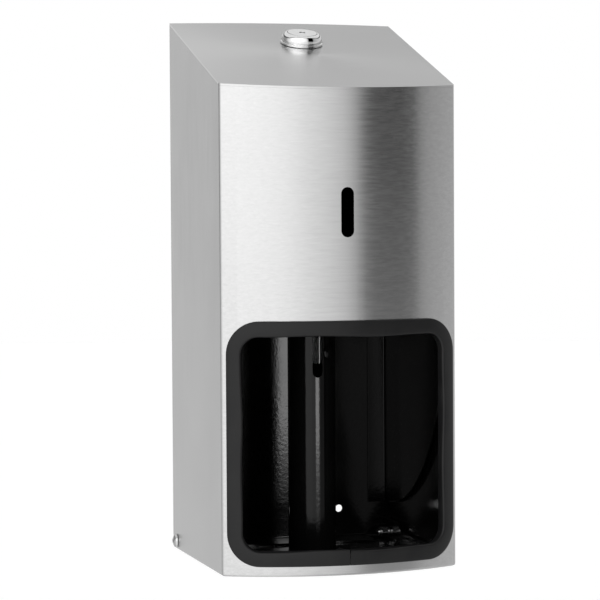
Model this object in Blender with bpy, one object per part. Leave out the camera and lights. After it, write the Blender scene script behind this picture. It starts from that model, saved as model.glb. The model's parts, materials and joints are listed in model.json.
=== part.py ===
"""Lockable twin-roll toilet paper holder, modelled in metres with +Z up.

The wall is the plane y = 0 and the front faces -Y. Heights below are measured from the underside of the
cover. The empty wall_datum carries everything and is shifted down, so that the world origin lies on the
back of the back plate, midway between its four wall fixing holes.
"""

from math import acos, atan2, cos, hypot, pi, radians, sin, sqrt

import bmesh
import bpy
from mathutils import Matrix, Vector

# Cover: overall sizes
COVER_WIDTH = 0.153
SIDE_DEPTH = 0.138
FRONT_BOW = 0.0195
REAR_HEIGHT = 0.3516
FRONT_HEIGHT = 0.305
REAR_CROWN = 0.0009
FRONT_DIP = 0.0027
COVER_SHEET = 0.0012
CORNER_BEND = 0.0025
BOTTOM_BEND = 0.00175
BOTTOM_FLANGE = 0.040
WALL_GAP = 0.0005
REAR_CORNER_RADIUS = 0.009

# Clearances
GAP = 0.0003
SIDE_CLEARANCE = 0.0021

# Openings in the front of the cover
OPENING_HALF_WIDTH = 0.0691
OPENING_BOTTOM = 0.0136
OPENING_HEIGHT = 0.1376
OPENING_CORNER = 0.0135
SLOT_WIDTH = 0.0082
SLOT_HEIGHT = 0.031
SLOT_CENTRE_HEIGHT = 0.2253

# Rubber edge trim
TRIM_COVERS = 0.0072
TRIM_LIP = 0.0026
TRIM_BULGE = 0.0026
TRIM_INNER_LEG = 0.0052
TRIM_INNER_DEPTH = 0.0021

# Chassis sheet parts
CHASSIS_SHEET = 0.0012
SHEET_BEND = 0.0008
BACK_TOP_CLEARANCE = 0.0076
LAP_DEPTH = 0.028
LAP_HALF_WIDTH = 0.058
SHELF_UNDERSIDE = 0.0006
SHELF_FRONT_CLEARANCE = 0.0008
EAR_HEIGHT = 0.0145
EAR_DEPTH = 0.024
SHELF_LIP_HEIGHT = 0.0085
CHEEK_BOTTOM = 0.0258
CHEEK_TOP = 0.296
CHEEK_ARC_RADIUS = 0.1246
CHEEK_TOP_CORNER = 0.022
CHEEK_FLANGE = 0.0125
WALL_HOLE_RADIUS = 0.0025
WALL_HOLE_X = 0.0394
LOWER_HOLE_HEIGHT = 0.022
UPPER_HOLE_HEIGHT = 0.320

# Cover hinge hardware
HINGE_FROM_WALL = 0.012
HINGE_HEIGHT = 0.0061
SCREW_RADIUS = 0.002
SCREW_HEAD_RADIUS = 0.0046
SCREW_HEAD_HEIGHT = 0.0027
SCREW_END_LENGTH = 0.0015
WASHER_RADIUS = 0.0043
WASHER_THICKNESS = 0.0012
NUT_FLATS = 0.0066
NUT_LENGTH = 0.0058
NUT_COLLAR = 0.0016

# Spindle post and the two rolls it carries
POST_RADIUS = 0.0155
POST_WALL = 0.0015
POST_FROM_WALL = 0.0733
ROLL_HEIGHT = 0.1143
RESERVE_HEIGHT = 0.168
FOOT_FLANGE = 0.0085
FOOT_THICKNESS = 0.002
FOOT_RECESS = 0.0006
FOOT_SPIGOT = 0.012
FOOT_BORE = 0.010
CAP_HEIGHT = 0.0047
CAP_PLUG = 0.010
CAP_BORE = 0.011
POST_SLOT_WIDTH = 0.007
POST_SLOT_LENGTH = 0.066

# Reserve roll latch
LATCH_THICKNESS = 0.0055
LATCH_PIVOT_DROP = 0.016
LATCH_REACH = 0.0095
LATCH_NOSE_HEIGHT = 0.0032
LATCH_HUB_RADIUS = 0.0045
LATCH_TAIL_DROP = 0.005
LATCH_BOSS_RADIUS = 0.0032
LATCH_PIN_RADIUS = 0.0015
LATCH_PIN_HEAD_RADIUS = 0.0024
LATCH_PIN_HEAD = 0.0007
BRACKET_SIDE_CLEARANCE = 0.005
BRACKET_BACK_CLEARANCE = 0.0052
BRACKET_REACH_FRONT = 0.008
BRACKET_ABOVE_PIVOT = 0.007
BRACKET_BELOW_PIVOT = 0.026
BRACKET_TAB_CLEARANCE = 0.0017
BRACKET_TAB_END = 0.0035
RIVET_AZIMUTH = radians(33.0)
RIVET_BELOW_PIVOT = 0.0176
RIVET_RADIUS = 0.0016
RIVET_HEAD_RADIUS = 0.0052
RIVET_HEAD_HEIGHT = 0.0019
RIVET_TAIL_RADIUS = 0.0020
RIVET_TAIL_HEIGHT = 0.001
SPRING_WIRE_RADIUS = 0.00035
SPRING_COIL_RADIUS = 0.00245
SPRING_TURNS = 5

# Lock on the sloped top; heights along its axis are measured from the outside of the top
LOCK_PLACE = 0.34
LOCK_RIM_RADIUS = 0.0139
LOCK_RIM_HEIGHT = 0.0012
LOCK_DOME_RADIUS = 0.0133
LOCK_FACE_RADIUS = 0.0107
LOCK_HEIGHT = 0.0074
LOCK_BARREL_RADIUS = 0.0092
LOCK_BARREL_LENGTH = 0.015
PLUG_FACE_RADIUS = 0.0096
PLUG_FACE_THICKNESS = 0.0007
PLUG_RADIUS = 0.006
PLUG_TAIL = 0.0009
KEYWAY_RADIUS = 0.002
KEYWAY_PIN_RADIUS = 0.0012
KEYWAY_DEPTH = 0.002
TENON_SIDE = 0.007
CAM_THICKNESS = 0.002
CAM_HUB_RADIUS = 0.008
CAM_HALF_WIDTH = 0.005
CAM_LENGTH = 0.026
CAM_SCREW_RADIUS = 0.0016
CAM_SCREW_LENGTH = 0.007
CAM_SCREW_HEAD_RADIUS = 0.0056
CAM_SCREW_HEAD = 0.0022
LOCK_WASHER_RADIUS = 0.0125
LOCK_WASHER_THICKNESS = 0.0009
LOCK_NUT_FLATS = 0.024
LOCK_NUT_THICKNESS = 0.004
STRIKE_INNER_X = 0.016
STRIKE_WIDTH = 0.012
STRIKE_CLEARANCE = 0.0006
STRIKE_SHEET = 0.0015
STRIKE_BELOW_CAM = 0.011
STRIKE_TAB_RISE = 0.0125
STRIKE_LEG = 0.020

# Values that follow from the ones above
HALF_WIDTH = COVER_WIDTH / 2
ARC_RADIUS = (HALF_WIDTH**2 + FRONT_BOW**2) / (2 * FRONT_BOW)
ARC_CENTRE_Y = -SIDE_DEPTH - FRONT_BOW + ARC_RADIUS
WALL_DATUM = (LOWER_HOLE_HEIGHT + UPPER_HOLE_HEIGHT) / 2
INNER_HALF_WIDTH = HALF_WIDTH - COVER_SHEET
BACK_HALF_WIDTH = INNER_HALF_WIDTH - GAP
BACK_HEIGHT = REAR_HEIGHT - BACK_TOP_CLEARANCE
CHEEK_OUTER_X = INNER_HALF_WIDTH - SIDE_CLEARANCE
CHEEK_CENTRE_X = CHEEK_OUTER_X - CHASSIS_SHEET / 2
SHELF_TOP = SHELF_UNDERSIDE + CHASSIS_SHEET
LAP_CENTRE = SHELF_TOP + GAP + CHASSIS_SHEET / 2
FLANGE_REAR_Y = -SIDE_DEPTH - FRONT_BOW + BOTTOM_FLANGE
SHELF_FRONT_Y = FLANGE_REAR_Y + SHELF_FRONT_CLEARANCE
POST_Y = -POST_FROM_WALL
FOOT_TOP = SHELF_TOP + GAP + FOOT_THICKNESS
POST_TOP = RESERVE_HEIGHT + ROLL_HEIGHT - GAP
POST_SLOT_BOTTOM = FOOT_TOP + ROLL_HEIGHT
POST_INNER_RADIUS = POST_RADIUS - POST_WALL
FOOT_RADIUS = POST_RADIUS + FOOT_FLANGE
BRACKET_HALF_WIDTH = POST_INNER_RADIUS - BRACKET_SIDE_CLEARANCE
BRACKET_REACH_BACK = POST_INNER_RADIUS - BRACKET_BACK_CLEARANCE
BRACKET_TAB_RADIUS = POST_INNER_RADIUS - BRACKET_TAB_CLEARANCE
LATCH_PIVOT_HEIGHT = RESERVE_HEIGHT - LATCH_PIVOT_DROP
TOP_FALL = REAR_HEIGHT + REAR_CROWN - FRONT_HEIGHT + FRONT_DIP
TOP_SLOPE = atan2(TOP_FALL, SIDE_DEPTH + FRONT_BOW)
TOP_VERTICAL = COVER_SHEET / cos(TOP_SLOPE)
LOCK_Y = -LOCK_PLACE * (SIDE_DEPTH + FRONT_BOW)
LOCK_Z = REAR_HEIGHT + REAR_CROWN - LOCK_PLACE * TOP_FALL
PLUG_SHOULDER = -LOCK_BARREL_LENGTH - PLUG_TAIL
CAM_CENTRE = PLUG_SHOULDER - GAP - CAM_THICKNESS / 2
TENON_END = PLUG_SHOULDER - CAM_THICKNESS - 2 * GAP

ARC_STEPS = 28
BEND_STEPS = 4
ROUND_STEPS = 40


def clear_scene():
    for item in list(bpy.data.objects):
        bpy.data.objects.remove(item, do_unlink=True)


def finish_material(name, colour, roughness, metallic):
    """A Principled BSDF material of one colour."""
    made = bpy.data.materials.new(name)
    made.use_nodes = True
    shader = made.node_tree.nodes["Principled BSDF"]
    shader.inputs["Base Color"].default_value = (*colour, 1.0)
    shader.inputs["Roughness"].default_value = roughness
    shader.inputs["Metallic"].default_value = metallic
    return made


def add_empty(name, place, parent=None, tilt=0.0):
    made = bpy.data.objects.new(name, None)
    made.empty_display_size = 0.01
    made.location = place
    made.rotation_euler = (tilt, 0.0, 0.0)
    made.parent = parent
    bpy.context.scene.collection.objects.link(made)
    return made


def add_mesh(name, points, faces, finish=None, parent=None, place=(0.0, 0.0, 0.0), smooth=True):
    """A mesh object from points and faces, with its faces turned outwards."""
    work = bmesh.new()
    corners = [work.verts.new(point) for point in points]
    for face in faces:
        work.faces.new([corners[index] for index in face])
    bmesh.ops.recalc_face_normals(work, faces=work.faces)
    mesh = bpy.data.meshes.new(name)
    work.to_mesh(mesh)
    work.free()
    if smooth:
        mesh.shade_smooth()
        mesh.set_sharp_from_angle(angle=radians(35.0))
    if finish:
        mesh.materials.append(finish)
    made = bpy.data.objects.new(name, mesh)
    made.parent = parent
    made.location = place
    bpy.context.scene.collection.objects.link(made)
    return made


def combine(target, tool, operation):
    """A Boolean of target with tool, which then stays as a hidden helper."""
    tool.hide_render = True
    tool.display_type = "WIRE"
    step = target.modifiers.new(tool.name, "BOOLEAN")
    step.operation = operation
    step.object = tool
    step.solver = "EXACT"


def cut(target, tool):
    combine(target, tool, "DIFFERENCE")


def join(target, tool):
    combine(target, tool, "UNION")


def loft(rings, closed=True):
    """Points and faces of a body through rings of equal length, capped at both ends."""
    count = len(rings[0])
    points = [point for ring in rings for point in ring]
    faces = []
    for level in range(len(rings) - 1):
        for side in range(count if closed else count - 1):
            near = level * count + side
            next_side = level * count + (side + 1) % count
            faces.append((near, next_side, next_side + count, near + count))
    faces.append(tuple(range(count)))
    faces.append(tuple(range((len(rings) - 1) * count, len(rings) * count)))
    return points, faces


def along(axis, flat, height):
    """A point from two flat coordinates and a height along the named axis, in right-handed order."""
    first, second = flat
    return {"X": (height, first, second), "Y": (first, height, second), "Z": (first, second, height)}[axis]


def prism(name, axis, outline, low, high, **options):
    """A straight prism: X takes (y, z) outlines, Y takes (x, z) outlines and Z takes (x, y) outlines."""
    rings = [[along(axis, point, height) for point in outline] for height in (low, high)]
    return add_mesh(name, *loft(rings), **options)


def turned_points(profile, steps, frame):
    """A body turned about the frame's Z axis. The profile is closed, of (radius, height) points."""
    turns = [2 * pi * step / steps for step in range(steps)]
    points = []
    first = []
    for radius, height in profile:
        first.append(len(points))
        around = turns if radius > 0 else [0.0]
        points.extend(frame @ Vector((radius * cos(turn), radius * sin(turn), height)) for turn in around)

    def corner(row, step):
        return first[row] + (step % steps if profile[row][0] > 0 else 0)

    faces = []
    for row in range(len(profile)):
        following = (row + 1) % len(profile)
        if profile[row][0] == 0 and profile[following][0] == 0:
            continue
        for step in range(steps):
            ring = [corner(row, step), corner(row, step + 1), corner(following, step + 1), corner(following, step)]
            faces.append(tuple(dict.fromkeys(ring)))
    return points, faces


def turned(name, profile, steps=ROUND_STEPS, frame=None, **options):
    return add_mesh(name, *turned_points(profile, steps, frame or Matrix()), **options)


def cylinder(name, radius, low, high, steps=ROUND_STEPS, frame=None, **options):
    profile = [(0.0, low), (radius, low), (radius, high), (0.0, high)]
    return turned(name, profile, steps, frame, **options)


def facing(direction, origin):
    """A frame at origin whose Z axis points along direction."""
    turn = Vector((0.0, 0.0, 1.0)).rotation_difference(Vector(direction)).to_matrix().to_4x4()
    return Matrix.Translation(Vector(origin)) @ turn


def arc(centre, radius, start, end, steps):
    """Points on a circle from angle start to angle end, both included."""
    return [
        (centre[0] + radius * cos(start + (end - start) * step / steps),
         centre[1] + radius * sin(start + (end - start) * step / steps))
        for step in range(steps + 1)
    ]


def bent_sheet(corners, thickness, bend=SHEET_BEND, steps=BEND_STEPS):
    """The outline of a sheet bent at each inner corner, from the corners of its middle line."""
    middle = []
    line = [Vector(corner) for corner in corners]
    for index, here in enumerate(line):
        before = (here - line[index - 1]).normalized() if index else None
        after = (line[index + 1] - here).normalized() if index + 1 < len(line) else None
        if before is None or after is None:
            way = before or after
            middle.append((here, Vector((-way.y, way.x))))
            continue
        turn = atan2(before.cross(after), before.dot(after))
        radius = bend + thickness / 2
        side = 1.0 if turn > 0 else -1.0
        start = here - before * radius * abs(sin(turn / 2) / cos(turn / 2))
        normal = Vector((-before.y, before.x))
        centre = start + normal * side * radius
        for step in range(steps + 1):
            spin = Matrix.Rotation(turn * step / steps, 2)
            middle.append((centre - spin @ (normal * side * radius), spin @ normal))
    left = [point + normal * thickness / 2 for point, normal in middle]
    right = [point - normal * thickness / 2 for point, normal in middle]
    return [tuple(point) for point in left + right[::-1]]


def front_path(inset):
    """Plan points of the cover's outside, moved in by inset, from the left side round to the right side."""
    radius = ARC_RADIUS - inset
    half = HALF_WIDTH - inset
    bend = max(CORNER_BEND - inset, 0.0004)
    # The bend touches the side line and the front arc, and its centre is a bend's radius inside both.
    centre_x = half - bend
    centre_y = ARC_CENTRE_Y - sqrt((radius - bend) ** 2 - centre_x**2)
    touch = atan2(centre_x, ARC_CENTRE_Y - centre_y)
    right = arc((centre_x, centre_y), bend, touch - pi / 2, 0.0, BEND_STEPS)
    turns = [touch * (2 * step / ARC_STEPS - 1) for step in range(1, ARC_STEPS)]
    front = [(radius * sin(turn), ARC_CENTRE_Y - radius * cos(turn)) for turn in turns]
    left = [(-x, y) for x, y in reversed(right)]
    return left + front + right


def arc_depth(x):
    """Distance of the front arc from the wall at this x."""
    return sqrt(ARC_RADIUS**2 - x**2) - ARC_CENTRE_Y


def top_height(x, y):
    """Height of the outside of the top: straight from back to front at each x, and crowned across."""
    across = 1 - (x / HALF_WIDTH) ** 2
    rear = REAR_HEIGHT + REAR_CROWN * across
    front = FRONT_HEIGHT - FRONT_DIP * across
    return rear + (front - rear) * -y / arc_depth(x)


def arc_point(along_arc, height, rise):
    """A point at a length along the front arc, at a height, and at a rise above the outside."""
    turn = along_arc / ARC_RADIUS
    radius = ARC_RADIUS + rise
    return (radius * sin(turn), ARC_CENTRE_Y - radius * cos(turn), height)


def window_cutter(name, half_width, bottom, height, corner, **options):
    """A cutter through the bowed front, with rounded corners and sides square to the sheet."""
    reach = 6 * COVER_SHEET
    middle = bottom + height / 2
    flat = half_width - corner
    offsets = [point[0] for point in arc((flat, 0.0), corner, pi / 2, 0.0, 6)]
    flats = [flat * step / 12 for step in range(12)] if flat > 0 else []
    right = flats + offsets
    columns = [-place for place in reversed(right[1:])] + right
    rings = []
    for place in columns:
        past = max(abs(place) - flat, 0.0)
        rise = height / 2 - corner + sqrt(max(corner**2 - past**2, 0.0))
        rise = max(rise, GAP / 10)
        rings.append([
            arc_point(place, middle - rise, -reach),
            arc_point(place, middle - rise, reach),
            arc_point(place, middle + rise, reach),
            arc_point(place, middle + rise, -reach),
        ])
    return add_mesh(name, *loft(rings), **options)


def cover_wrap(finish, parent, place):
    """Front, sides and folded-under bottom, bent from one sheet, open at the back and under the top."""
    options = {"parent": parent, "place": place}
    rear = -WALL_GAP
    rings = []
    fold_steps = 4
    for step in range(fold_steps + 1):
        angle = pi / 2 * step / fold_steps
        inset = BOTTOM_BEND * (1 - sin(angle))
        height = BOTTOM_BEND * (1 - cos(angle))
        plan = front_path(inset)
        rings.append([(x, y, height) for x, y in plan + [(x, rear) for x, _ in reversed(plan)]])
    plan = front_path(0.0)
    top = plan + [(x, rear) for x, _ in reversed(plan)]
    rings.append([(x, y, top_height(x, y) - TOP_VERTICAL - GAP) for x, y in top])
    points, faces = loft(rings)
    # The last face is the top: strips from front to back replace it, because it isn't flat.
    faces.pop()
    first = (len(rings) - 1) * len(top)
    for index in range(len(plan) - 1):
        back = len(top) - 1 - index
        faces.append((first + index, first + index + 1, first + back - 1, first + back))
    wrap = add_mesh("cover_wrap", points, faces, finish, **options)

    inside = front_path(COVER_SHEET)
    inside = inside + [(x, GAP + COVER_SHEET) for x, _ in (inside[-1], inside[0])]
    cut(wrap, prism("cover_inside", "Z", inside, COVER_SHEET, 2 * REAR_HEIGHT, **options))
    mouth = [(-INNER_HALF_WIDTH, FLANGE_REAR_Y), (INNER_HALF_WIDTH, FLANGE_REAR_Y),
             (INNER_HALF_WIDTH, COVER_SHEET), (-INNER_HALF_WIDTH, COVER_SHEET)]
    cut(wrap, prism("bottom_mouth", "Z", mouth, -COVER_SHEET, 2 * COVER_SHEET, **options))
    cut(wrap, window_cutter("opening_window", OPENING_HALF_WIDTH, OPENING_BOTTOM, OPENING_HEIGHT,
                            OPENING_CORNER, **options))
    cut(wrap, window_cutter("view_slot_window", SLOT_WIDTH / 2, SLOT_CENTRE_HEIGHT - SLOT_HEIGHT / 2,
                            SLOT_HEIGHT, SLOT_WIDTH / 2, **options))
    corner = arc((rear - REAR_CORNER_RADIUS, REAR_CORNER_RADIUS), REAR_CORNER_RADIUS, 0.0, -pi / 2, 8)
    outside = [(rear - REAR_CORNER_RADIUS, -COVER_SHEET), (COVER_SHEET, -COVER_SHEET),
               (COVER_SHEET, REAR_CORNER_RADIUS)]
    cut(wrap, prism("rear_corners", "X", corner + outside, -COVER_WIDTH, COVER_WIDTH, **options))
    frame = facing((1.0, 0.0, 0.0), (0.0, -HINGE_FROM_WALL, HINGE_HEIGHT))
    cut(wrap, cylinder("hinge_bore", SCREW_RADIUS + GAP, -COVER_WIDTH, COVER_WIDTH, 20, frame, **options))


def cover_top(finish, parent, place, lock_frame):
    """The sloped top sheet, which ends flush with the outside of the wrap."""
    plan = front_path(0.0)
    rings = []
    for x, y in plan:
        rear = -WALL_GAP
        rings.append([
            (x, y, top_height(x, y) - TOP_VERTICAL),
            (x, y, top_height(x, y)),
            (x, rear, top_height(x, rear)),
            (x, rear, top_height(x, rear) - TOP_VERTICAL),
        ])
    top = add_mesh("cover_top", *loft(rings), finish, parent, place)
    bore = LOCK_BARREL_RADIUS + GAP
    cut(top, cylinder("lock_bore", bore, -4 * COVER_SHEET, 4 * COVER_SHEET, 32, lock_frame,
                      parent=parent, place=place))


def trim_route():
    """Stations round the opening: length along the arc, height, and the outward direction in the sheet."""
    reach = OPENING_HALF_WIDTH - OPENING_CORNER
    low = OPENING_BOTTOM + OPENING_CORNER
    high = OPENING_BOTTOM + OPENING_HEIGHT - OPENING_CORNER
    stations = []
    straight = 12
    corner_steps = 7

    def run(start, end, way, steps):
        for step in range(steps):
            share = step / steps
            stations.append((start[0] + (end[0] - start[0]) * share, start[1] + (end[1] - start[1]) * share, way))

    def corner(centre, begin):
        for step in range(corner_steps):
            angle = begin + pi / 2 * step / corner_steps
            way = (cos(angle), sin(angle))
            stations.append((centre[0] + OPENING_CORNER * way[0], centre[1] + OPENING_CORNER * way[1], way))

    bottom = OPENING_BOTTOM
    top = OPENING_BOTTOM + OPENING_HEIGHT
    run((GAP / 2, bottom), (reach, bottom), (0.0, -1.0), straight // 2)
    corner((reach, low), -pi / 2)
    run((OPENING_HALF_WIDTH, low), (OPENING_HALF_WIDTH, high), (1.0, 0.0), 2)
    corner((reach, high), 0.0)
    run((reach, top), (-reach, top), (0.0, 1.0), straight)
    corner((-reach, high), pi / 2)
    run((-OPENING_HALF_WIDTH, high), (-OPENING_HALF_WIDTH, low), (-1.0, 0.0), 2)
    corner((-reach, low), pi)
    run((-reach, bottom), (-GAP / 2, bottom), (0.0, -1.0), straight // 2)
    stations.append((-GAP / 2, bottom, (0.0, -1.0)))
    return stations


def opening_trim(finish, parent, place):
    """Rubber channel pushed over the edge of the opening, with its two ends meeting at the bottom."""
    outer = TRIM_BULGE
    inner = -COVER_SHEET - TRIM_INNER_DEPTH
    profile = [
        (TRIM_COVERS, GAP),
        (TRIM_COVERS, 0.4 * outer),
        (0.85 * TRIM_COVERS, 0.8 * outer),
        (0.5 * TRIM_COVERS, outer),
        (0.0, outer),
        (-0.7 * TRIM_LIP, 0.7 * outer),
        (-TRIM_LIP, 0.1 * outer),
        (-TRIM_LIP, 0.6 * inner),
        (-0.7 * TRIM_LIP, 0.9 * inner),
        (0.0, inner),
        (0.8 * TRIM_INNER_LEG, inner),
        (TRIM_INNER_LEG, -COVER_SHEET - GAP),
        (-GAP, -COVER_SHEET - GAP),
        (-GAP, GAP),
    ]
    rings = [
        [arc_point(place_u + way[0] * out, height + way[1] * out, rise) for out, rise in profile]
        for place_u, height, way in trim_route()
    ]
    add_mesh("opening_trim", *loft(rings), finish, parent, place)


def back_plate(finish, parent):
    """Wall plate with four fixing holes. Its lower edge is bent forward in the middle, to lap over the shelf."""
    middle = -CHASSIS_SHEET / 2
    line = [(middle, BACK_HEIGHT), (middle, LAP_CENTRE), (-LAP_DEPTH, LAP_CENTRE)]
    plate = prism("back_plate", "X", bent_sheet(line, CHASSIS_SHEET), -LAP_HALF_WIDTH, LAP_HALF_WIDTH,
                  finish=finish, parent=parent)
    for side in (-1, 1):
        edges = (side * (LAP_HALF_WIDTH - CHASSIS_SHEET), side * BACK_HALF_WIDTH)
        outline = [(edges[0], SHELF_UNDERSIDE), (edges[1], SHELF_UNDERSIDE), (edges[1], BACK_HEIGHT),
                   (edges[0], BACK_HEIGHT)]
        join(plate, prism(f"plate_side_{side + 1}", "Y", outline, -CHASSIS_SHEET, 0.0, parent=parent))
        for name, height in (("lower", LOWER_HOLE_HEIGHT), ("upper", UPPER_HOLE_HEIGHT)):
            frame = facing((0.0, 1.0, 0.0), (side * WALL_HOLE_X, 0.0, height))
            reach = 4 * CHASSIS_SHEET
            cut(plate, cylinder(f"{name}_wall_hole_{side + 1}", WALL_HOLE_RADIUS, -reach, reach, 24, frame,
                                parent=parent))


def shelf(finish, parent):
    """Floor with turned-up sides, high at the back where the hinge screws pass, and low in front."""
    top = EAR_HEIGHT
    line = [(-CHEEK_CENTRE_X, top), (-CHEEK_CENTRE_X, SHELF_UNDERSIDE + CHASSIS_SHEET / 2),
            (CHEEK_CENTRE_X, SHELF_UNDERSIDE + CHASSIS_SHEET / 2), (CHEEK_CENTRE_X, top)]
    tray = prism("shelf", "Y", bent_sheet(line, CHASSIS_SHEET), SHELF_FRONT_Y, -CHASSIS_SHEET - GAP,
                 finish=finish, parent=parent)
    lip = SHELF_LIP_HEIGHT
    slope = [(SHELF_FRONT_Y - GAP, lip), (-EAR_DEPTH - EAR_HEIGHT, lip), (-EAR_DEPTH, 2 * top - lip),
             (SHELF_FRONT_Y - GAP, 2 * top)]
    cut(tray, prism("ear_slope", "X", slope, -COVER_WIDTH, COVER_WIDTH, parent=parent))
    frame = facing((1.0, 0.0, 0.0), (0.0, -HINGE_FROM_WALL, HINGE_HEIGHT))
    cut(tray, cylinder("ear_bore", SCREW_RADIUS + GAP, -COVER_WIDTH, COVER_WIDTH, 20, frame, parent=parent))


def cheek(name, side, finish, parent):
    """Side guard with a flange along the back plate, cut to an arc below and rounded above."""
    flange_y = -CHASSIS_SHEET - GAP - CHASSIS_SHEET / 2
    front_y = -CHEEK_ARC_RADIUS + flange_y
    line = [(side * (CHEEK_CENTRE_X - CHEEK_FLANGE), flange_y), (side * CHEEK_CENTRE_X, flange_y),
            (side * CHEEK_CENTRE_X, front_y)]
    plate = prism(name, "Z", bent_sheet(line, CHASSIS_SHEET), CHEEK_BOTTOM, CHEEK_TOP,
                  finish=finish, parent=parent)
    middle = (flange_y, CHEEK_BOTTOM + CHEEK_ARC_RADIUS)
    lower = arc(middle, CHEEK_ARC_RADIUS, pi, 1.5 * pi, 20)
    lower += [(flange_y, CHEEK_BOTTOM - CHASSIS_SHEET), (2 * front_y, CHEEK_BOTTOM - CHASSIS_SHEET),
              (2 * front_y, middle[1])]
    edges = sorted((side * BACK_HALF_WIDTH / 2, side * COVER_WIDTH))
    cut(plate, prism(f"{name}_lower_arc", "X", lower, *edges, parent=parent))
    corner = CHEEK_TOP_CORNER
    upper = arc((front_y + corner, CHEEK_TOP - corner), corner, pi, pi / 2, 8)
    upper += [(front_y + corner, CHEEK_TOP + corner), (front_y - corner, CHEEK_TOP + corner),
              (front_y - corner, CHEEK_TOP - corner)]
    cut(plate, prism(f"{name}_upper_corner", "X", upper, *edges, parent=parent))


def hexagon(flats):
    """Outline of a hexagon with two flats level."""
    radius = flats / sqrt(3)
    return [(radius * cos(pi / 3 * step), radius * sin(pi / 3 * step)) for step in range(6)]


def hinge_hardware(label, side, steel, nylon, parent):
    """One hinge point, from outside in: screw head, cover, nylon bush, ear, washer and locking nut."""
    origin = (0.0, -HINGE_FROM_WALL, HINGE_HEIGHT)
    frame = facing((float(side), 0.0, 0.0), origin)
    head_low = HALF_WIDTH + GAP
    ear_inner = CHEEK_OUTER_X - CHASSIS_SHEET
    washer_high = ear_inner - GAP
    nut_high = washer_high - WASHER_THICKNESS - GAP
    nut_low = nut_high - NUT_LENGTH
    end = nut_low - SCREW_END_LENGTH
    tip = 0.6 * SCREW_RADIUS
    crown = [
        (SCREW_HEAD_RADIUS * cos(turn), head_low + 0.25 * SCREW_HEAD_HEIGHT + 0.75 * SCREW_HEAD_HEIGHT * sin(turn))
        for turn in (0.0, pi / 8, pi / 4, 3 * pi / 8)
    ]
    profile = [(0.0, end), (tip, end), (SCREW_RADIUS, end + tip), (SCREW_RADIUS, head_low),
               (SCREW_HEAD_RADIUS, head_low)]
    profile += crown + [(0.0, head_low + SCREW_HEAD_HEIGHT)]
    turned(f"{label}_hinge_screw", profile, 24, frame, finish=steel, parent=parent)

    bore = SCREW_RADIUS + GAP
    bush = [(bore, CHEEK_OUTER_X + GAP), (WASHER_RADIUS, CHEEK_OUTER_X + GAP),
            (WASHER_RADIUS, INNER_HALF_WIDTH - GAP), (bore, INNER_HALF_WIDTH - GAP)]
    turned(f"{label}_hinge_bush", bush, 24, frame, finish=nylon, parent=parent)
    washer = [(bore, washer_high - WASHER_THICKNESS), (NUT_FLATS / 2, washer_high - WASHER_THICKNESS),
              (NUT_FLATS / 2, washer_high), (bore, washer_high)]
    turned(f"{label}_hinge_washer", washer, 24, frame, finish=steel, parent=parent)

    hex_low = nut_low + NUT_COLLAR
    outline = [(origin[1] + y, origin[2] + z) for y, z in hexagon(NUT_FLATS)]
    edges = sorted((side * hex_low, side * nut_high))
    nut = prism(f"{label}_hinge_nut", "X", outline, *edges, finish=steel, parent=parent)
    collar = cylinder(f"{label}_nut_collar", 0.9 * NUT_FLATS / 2, nut_low, hex_low + NUT_COLLAR, 24, frame,
                      parent=parent)
    join(nut, collar)
    cut(nut, cylinder(f"{label}_nut_bore", bore, nut_low - GAP, nut_high + GAP, 16, frame, parent=parent))


def spindle_post(finish, parent, place):
    """Upright tube with a round-ended slot in front for the latch, and a hole for the latch rivet."""
    low = FOOT_TOP - FOOT_RECESS + GAP
    profile = [(POST_INNER_RADIUS, low), (POST_RADIUS, low), (POST_RADIUS, POST_TOP), (POST_INNER_RADIUS, POST_TOP)]
    post = turned("spindle_post", profile, 48, finish=finish, parent=parent, place=place)
    half = POST_SLOT_WIDTH / 2
    slot_top = POST_SLOT_BOTTOM + POST_SLOT_LENGTH
    outline = arc((0.0, POST_SLOT_BOTTOM + half), half, pi, 2 * pi, 8)
    outline += arc((0.0, slot_top - half), half, 0.0, pi, 8)
    cut(post, prism("post_slot", "Y", outline, -2 * POST_RADIUS, -POST_RADIUS / 2, parent=parent, place=place))
    cut(post, cylinder("post_rivet_hole", RIVET_RADIUS + GAP, POST_INNER_RADIUS / 2, 2 * POST_RADIUS, 16,
                       rivet_frame(), parent=parent, place=place))


def rivet_frame():
    """Frame on the post's axis at the rivet's height, with Z pointing out through the rivet."""
    height = LATCH_PIVOT_HEIGHT - RIVET_BELOW_PIVOT
    return facing((sin(RIVET_AZIMUTH), -cos(RIVET_AZIMUTH), 0.0), (0.0, 0.0, height))


def post_ends(steel, plastic, parent, place):
    """Flanged foot with a shallow seat for the post, and the rounded cap in the post's top."""
    low = SHELF_TOP + GAP
    spigot = POST_INNER_RADIUS - GAP
    seat = FOOT_TOP - FOOT_RECESS
    foot = [(FOOT_BORE, low), (FOOT_RADIUS, low), (FOOT_RADIUS, FOOT_TOP), (POST_RADIUS + GAP, FOOT_TOP),
            (POST_RADIUS + GAP, seat), (spigot, seat), (spigot, FOOT_TOP + FOOT_SPIGOT),
            (FOOT_BORE, FOOT_TOP + FOOT_SPIGOT)]
    turned("post_foot", foot, 48, finish=steel, parent=parent, place=place)
    base = POST_TOP + GAP
    crown = [(POST_RADIUS * cos(turn), base + CAP_HEIGHT * sin(turn)) for turn in (0.0, pi / 8, pi / 4, 3 * pi / 8)]
    cap = [(0.0, base + CAP_HEIGHT), (0.0, base), (CAP_BORE, base), (CAP_BORE, POST_TOP - CAP_PLUG),
           (spigot, POST_TOP - CAP_PLUG), (spigot, base)]
    cap += crown
    turned("post_cap", cap, 48, finish=plastic, parent=parent, place=place)


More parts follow.
